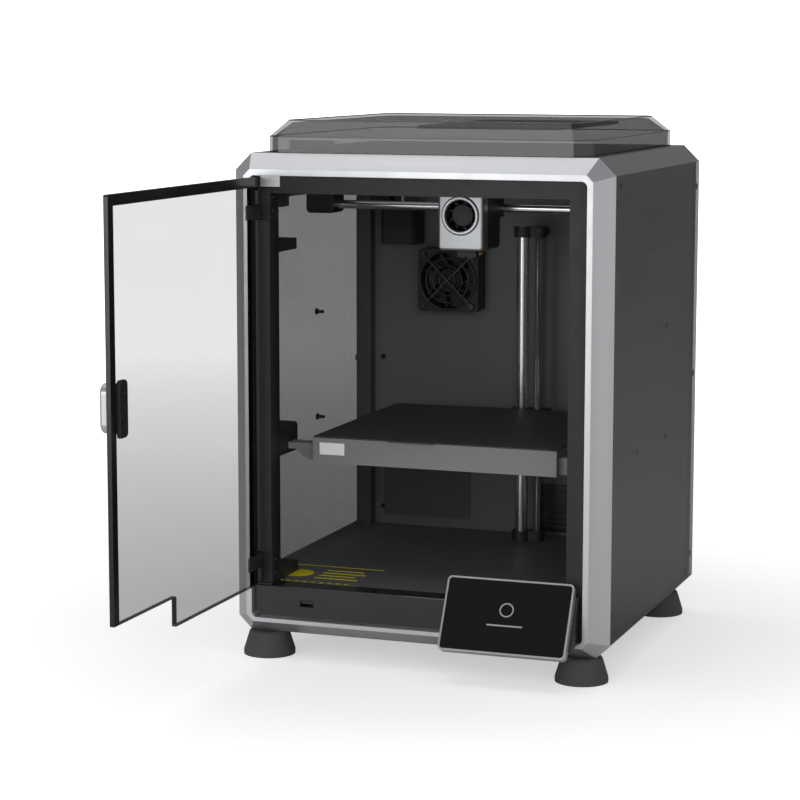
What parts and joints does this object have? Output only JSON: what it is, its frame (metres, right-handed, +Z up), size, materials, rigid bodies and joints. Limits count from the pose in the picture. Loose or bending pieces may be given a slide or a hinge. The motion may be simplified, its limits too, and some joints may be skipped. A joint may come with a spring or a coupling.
{
  "type": "fdm printer",
  "caption": "Enclosed desktop filament 3-D printer with a glass door, a lift-off lid, a moving print head and a bed that rises and falls.",
  "frame": {"origin": "on the table top, in the middle of the four feet", "axes": "+X to the right seen from the front, +Y to the back, +Z up; the door side faces -Y"},
  "size_m": [0.348, 0.6151, 0.482],
  "materials": {
    "silver": "satin silver paint",
    "casing_grey": "satin dark silver paint",
    "black_plastic": "fine textured black",
    "grey_plastic": "fine textured dark grey",
    "smoked_acrylic": "smoke-tinted clear sheet",
    "door_glass": "lightly tinted toughened glass",
    "lid_smoke": "smoke-tinted clear moulding",
    "steel_sheet": "powder coated dark grey sheet steel",
    "bed_sheet": "powder coated grey sheet metal",
    "polished_steel": "ground and polished",
    "black_screw": "black oxide",
    "rubber": "moulded",
    "aluminium": "machined",
    "plate_coating": "textured print surface",
    "screen_glass": "black glass",
    "gloss_black": "glossy black",
    "pcb": "solder mask",
    "belt_rubber": "toothed belt",
    "brass": "machined",
    "steel": "plain"
  },
  "bodies": {
    "frame": {"front_bezel": "silver", "front_liner": "black_plastic", "top_frame": "casing_grey", "rear_posts": "grey_plastic", "left_panel": "smoked_acrylic", "right_panel": "smoked_acrylic", "rear_panel": "steel_sheet", "floor_plate": "steel_sheet", "lower_front_panel": "gloss_black", "bottom_pan": "casing_grey", "feet": "rubber", "panel_screws": "black_screw", "hinge_blocks": "black_plastic", "display_housing": "silver", "display_glass": "screen_glass", "display_bracket": "casing_grey", "usb_port": "steel", "power_inlet": "black_plastic", "power_supply": "steel", "mainboard": "pcb", "guide_rods": "polished_steel", "corner_brackets": "black_plastic", "stepper_motors": "black_screw", "chamber_fan_housing": "black_plastic", "chamber_fan_guard": "steel", "z_end_blocks": "black_plastic", "frame_belts": "belt_rubber"},
    "door": {"door_glass": "door_glass", "door_handle": "silver", "handle_plate": "black_plastic", "hinge_leaves": "black_screw"},
    "lid": {"lid": "lid_smoke"},
    "gantry": {"carriage_left": "black_plastic", "carriage_right": "black_plastic", "x_rods": "polished_steel", "carriage_pulleys": "aluminium", "x_belts": "belt_rubber"},
    "head": {"head_cover": "silver", "head_body": "black_plastic", "hotend": "brass", "extruder_body": "grey_plastic", "extruder_motor": "black_screw"},
    "head_fan": {"head_fan_rotor": "black_plastic"},
    "extruder_drive": {"extruder_gear": "steel"},
    "chamber_fan": {"chamber_fan_rotor": "black_plastic"},
    "bed": {"build_plate": "plate_coating", "heated_bed": "aluminium", "bed_frame": "bed_sheet", "bed_bushings": "black_plastic"},
    "screw_left": {"lead_screw_left": "polished_steel"},
    "screw_right": {"lead_screw_right": "polished_steel"},
    "screw_rear": {"lead_screw_rear": "polished_steel"},
    "z_pulley": {"z_motor_pulley": "aluminium"},
    "idler_fl": {"idler_front_left": "aluminium"},
    "idler_fr": {"idler_front_right": "aluminium"},
    "idler_rl": {"idler_rear_left": "aluminium"},
    "idler_rr": {"idler_rear_right": "aluminium"},
    "motor_l": {"motor_pulley_left": "aluminium"},
    "motor_r": {"motor_pulley_right": "aluminium"},
    "rocker": {"power_switch": "gloss_black"}
  },
  "joints": [
    {"name": "door_hinge", "type": "hinge", "parent": "frame", "child": "door", "pos_m": [-0.1495, -0.1595, 0.25], "axis": [0, 0, 1], "range_deg": [-10, 90]},
    {"name": "lid_lift", "type": "slide", "parent": "frame", "child": "lid", "axis": [0, 0, 1], "range_m": [0, 0.15]},
    {"name": "gantry_y", "type": "slide", "parent": "frame", "child": "gantry", "axis": [0, 1, 0], "range_m": [-0.098, 0.118]},
    {"name": "head_x", "type": "slide", "parent": "gantry", "child": "head", "axis": [1, 0, 0], "range_m": [-0.1165, 0.104]},
    {"name": "bed_z", "type": "slide", "parent": "frame", "child": "bed", "axis": [0, 0, 1], "range_m": [-0.095, 0.1545]},
    {"name": "head_fan_spin", "type": "hinge", "parent": "head", "child": "head_fan", "pos_m": [0.0063, -0.047, 0.3957], "axis": [0, -1, 0], "continuous": true},
    {"name": "extruder_spin", "type": "hinge", "parent": "head", "child": "extruder_drive", "pos_m": [0.0115, -0.02, 0.432], "axis": [0, -1, 0], "continuous": true},
    {"name": "chamber_fan_spin", "type": "hinge", "parent": "frame", "child": "chamber_fan", "pos_m": [-0.0705, 0.148, 0.318], "axis": [0, -1, 0], "continuous": true},
    {"name": "screw_left_turn", "type": "hinge", "parent": "frame", "child": "screw_left", "pos_m": [-0.15, -0.121, 0.2], "axis": [0, 0, 1], "continuous": true},
    {"name": "screw_right_turn", "type": "hinge", "parent": "frame", "child": "screw_right", "pos_m": [0.15, -0.121, 0.2], "axis": [0, 0, 1], "continuous": true},
    {"name": "screw_rear_turn", "type": "hinge", "parent": "frame", "child": "screw_rear", "pos_m": [0.026, 0.128, 0.2], "axis": [0, 0, 1], "continuous": true},
    {"name": "z_pulley_turn", "type": "hinge", "parent": "frame", "child": "z_pulley", "pos_m": [0.07, 0.096, 0.053], "axis": [0, 0, 1], "continuous": true},
    {"name": "idler_fl_turn", "type": "hinge", "parent": "frame", "child": "idler_fl", "pos_m": [-0.1435, -0.126, 0.43], "axis": [0, 0, 1], "continuous": true},
    {"name": "idler_fr_turn", "type": "hinge", "parent": "frame", "child": "idler_fr", "pos_m": [0.1435, -0.126, 0.43], "axis": [0, 0, 1], "continuous": true},
    {"name": "idler_rl_turn", "type": "hinge", "parent": "frame", "child": "idler_rl", "pos_m": [-0.1435, 0.1505, 0.43], "axis": [0, 0, 1], "continuous": true},
    {"name": "idler_rr_turn", "type": "hinge", "parent": "frame", "child": "idler_rr", "pos_m": [0.1435, 0.1505, 0.43], "axis": [0, 0, 1], "continuous": true},
    {"name": "motor_l_turn", "type": "hinge", "parent": "frame", "child": "motor_l", "pos_m": [-0.1198, 0.1428, 0.415], "axis": [0, 0, 1], "continuous": true},
    {"name": "motor_r_turn", "type": "hinge", "parent": "frame", "child": "motor_r", "pos_m": [0.1198, 0.1428, 0.415], "axis": [0, 0, 1], "continuous": true},
    {"name": "rocker_tilt", "type": "hinge", "parent": "frame", "child": "rocker", "pos_m": [0.082, 0.16, 0.05], "axis": [0, 0, 1], "range_deg": [0, 20]}
  ],
  "couplings": [
    {"joint": "screw_left_turn", "follows": "bed_z", "rad_per_m": 785.4},
    {"joint": "screw_right_turn", "follows": "bed_z", "rad_per_m": 785.4},
    {"joint": "screw_rear_turn", "follows": "bed_z", "rad_per_m": 785.4},
    {"joint": "z_pulley_turn", "follows": "bed_z", "rad_per_m": 785.4},
    {"joint": "idler_fl_turn", "follows": "gantry_y", "rad_per_m": 153.85},
    {"joint": "idler_fr_turn", "follows": "gantry_y", "rad_per_m": -153.85},
    {"joint": "idler_rl_turn", "follows": "gantry_y", "rad_per_m": 153.85},
    {"joint": "idler_rr_turn", "follows": "gantry_y", "rad_per_m": -153.85},
    {"joint": "motor_l_turn", "follows": "gantry_y", "rad_per_m": 153.85},
    {"joint": "motor_r_turn", "follows": "gantry_y", "rad_per_m": -153.85}
  ]
}
